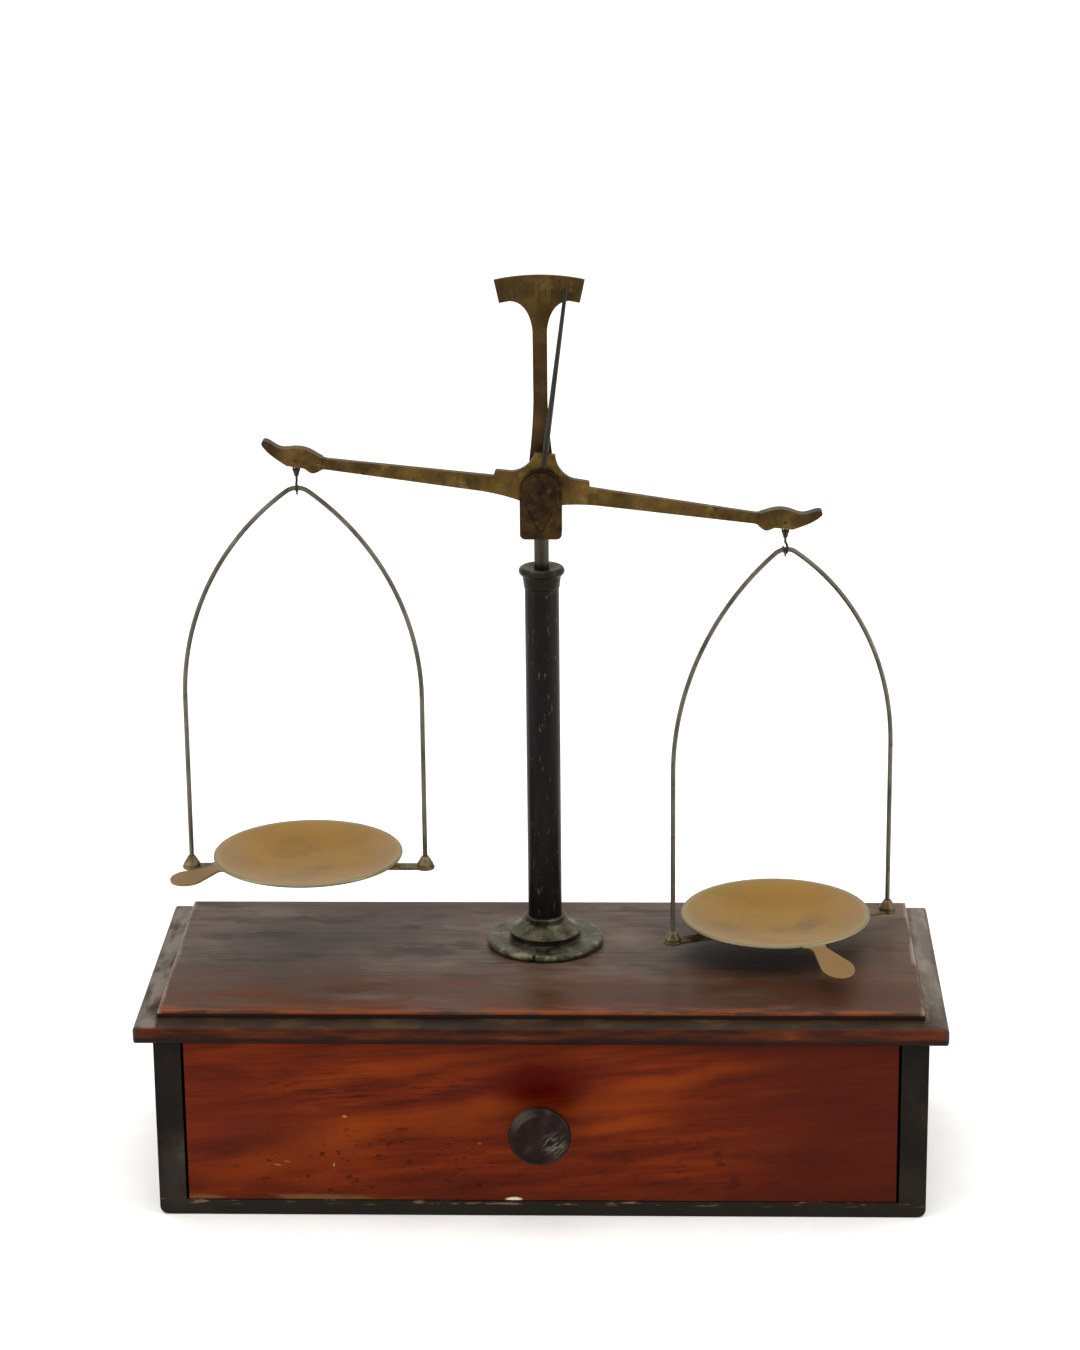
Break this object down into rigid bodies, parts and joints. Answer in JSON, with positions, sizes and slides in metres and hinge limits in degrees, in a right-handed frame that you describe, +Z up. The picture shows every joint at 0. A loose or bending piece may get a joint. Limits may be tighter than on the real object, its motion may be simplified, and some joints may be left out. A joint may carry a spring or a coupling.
{
  "type": "pharmacy column balance",
  "caption": "Equal-arm pharmacy balance: knife-edge beam with needle and scale plate on a lift rod and column, hanging bails with pans, on a wooden drawer box.",
  "frame": {"origin": "middle of the underside of the drawer box", "axes": "+Z up along the column, -Y towards the side with the drawer front, +X to the right of someone facing the drawer"},
  "size_m": [0.3356, 0.1505, 0.3816],
  "materials": {
    "ebonised_wood": "ebonised, worn satin",
    "board_walnut": "old french polish, worn to grey at the edges",
    "mahogany": "french polished mahogany",
    "pine": "bare planed softwood",
    "knob_wood": "turned and ebonised, worn",
    "nail_iron": "rusty iron",
    "column_black": "black japanned tube",
    "flange_brass": "dark oxidised brass",
    "beam_brass": "brown-green patina",
    "fork_brass": "dark brown patina",
    "pan_brass": "dull spun sheet",
    "steel": "dull grey drawn wire",
    "blued_steel": "blackened",
    "knife_steel": "ground"
  },
  "bodies": {
    "case": {"bottom_board": "ebonised_wood", "side_panel_left": "ebonised_wood", "side_panel_right": "ebonised_wood", "back_panel": "ebonised_wood", "stop_blocks": "pine", "top_board": "board_walnut", "case_nails": "nail_iron", "flange_disc": "flange_brass", "flange_bell": "flange_brass", "column_tube": "column_black", "capital": "flange_brass", "rod_guide": "flange_brass", "column_washer": "flange_brass", "column_nut": "flange_brass"},
    "drawer": {"drawer_front": "mahogany", "drawer_side_left": "pine", "drawer_side_right": "pine", "drawer_back": "pine", "drawer_bottom": "pine", "drawer_nails": "nail_iron", "drawer_knob": "knob_wood", "knob_screw": "nail_iron"},
    "lift": {"lift_rod": "steel", "fork": "fork_brass", "bearing_front": "knife_steel", "bearing_rear": "knife_steel", "bearing_cap_front": "fork_brass", "bearing_cap_rear": "fork_brass", "scale_plate": "beam_brass", "scale_screws": "beam_brass"},
    "balance_beam": {"beam": "beam_brass", "center_knife": "knife_steel", "end_knife_left": "knife_steel", "end_knife_right": "knife_steel", "pointer": "blued_steel"},
    "left_stirrup": {"stirrup_left": "steel"},
    "left_hook": {"hook_left": "steel"},
    "left_bail": {"bail_left": "steel", "bail_feet_left": "beam_brass", "cross_bar_left": "beam_brass"},
    "left_pan": {"pan_left": "pan_brass"},
    "right_stirrup": {"stirrup_right": "steel"},
    "right_hook": {"hook_right": "steel"},
    "right_bail": {"bail_right": "steel", "bail_feet_right": "beam_brass", "cross_bar_right": "beam_brass"},
    "right_pan": {"pan_right": "pan_brass"}
  },
  "joints": [
    {"name": "drawer_slide", "type": "slide", "parent": "case", "child": "drawer", "axis": [0, -1, 0], "range_m": [0, 0.09]},
    {"name": "lift_slide", "type": "slide", "parent": "case", "child": "lift", "axis": [0, 0, 1], "range_m": [-0.005, 0]},
    {"name": "beam_tilt", "type": "hinge", "parent": "lift", "child": "balance_beam", "pos_m": [0, 0.0144, 0.2932], "axis": [0, 1, 0], "range_deg": [-15, 0]},
    {"name": "left_stirrup_rock", "type": "hinge", "parent": "balance_beam", "child": "left_stirrup", "pos_m": [-0.10142, 0.0144, 0.30655], "axis": [0, 1, 0], "range_deg": [0, 15]},
    {"name": "left_hook_swivel", "type": "hinge", "parent": "left_stirrup", "child": "left_hook", "pos_m": [-0.10142, 0.0144, 0.30655], "axis": [0, 0, 1], "range_deg": [-45, 45]},
    {"name": "left_bail_swing", "type": "hinge", "parent": "left_hook", "child": "left_bail", "pos_m": [-0.10142, 0.0144, 0.29345], "axis": [1, 0, 0], "range_deg": [-5, 5]},
    {"name": "left_pan_lift_off", "type": "slide", "parent": "left_bail", "child": "left_pan", "axis": [0, 0, 1], "range_m": [0, 0.06]},
    {"name": "right_stirrup_rock", "type": "hinge", "parent": "balance_beam", "child": "right_stirrup", "pos_m": [0.10142, 0.0144, 0.27985], "axis": [0, 1, 0], "range_deg": [0, 15]},
    {"name": "right_hook_swivel", "type": "hinge", "parent": "right_stirrup", "child": "right_hook", "pos_m": [0.10142, 0.0144, 0.27985], "axis": [0, 0, 1], "range_deg": [-45, 45]},
    {"name": "right_bail_swing", "type": "hinge", "parent": "right_hook", "child": "right_bail", "pos_m": [0.10142, 0.0144, 0.26675], "axis": [0.9272, 0.3746, 0], "range_deg": [-5, 5]},
    {"name": "right_pan_lift_off", "type": "slide", "parent": "right_bail", "child": "right_pan", "axis": [0, 0, 1], "range_m": [0, 0.06]}
  ],
  "couplings": [
    {"joint": "left_stirrup_rock", "follows": "beam_tilt", "ratio": -1},
    {"joint": "right_stirrup_rock", "follows": "beam_tilt", "ratio": -1}
  ]
}
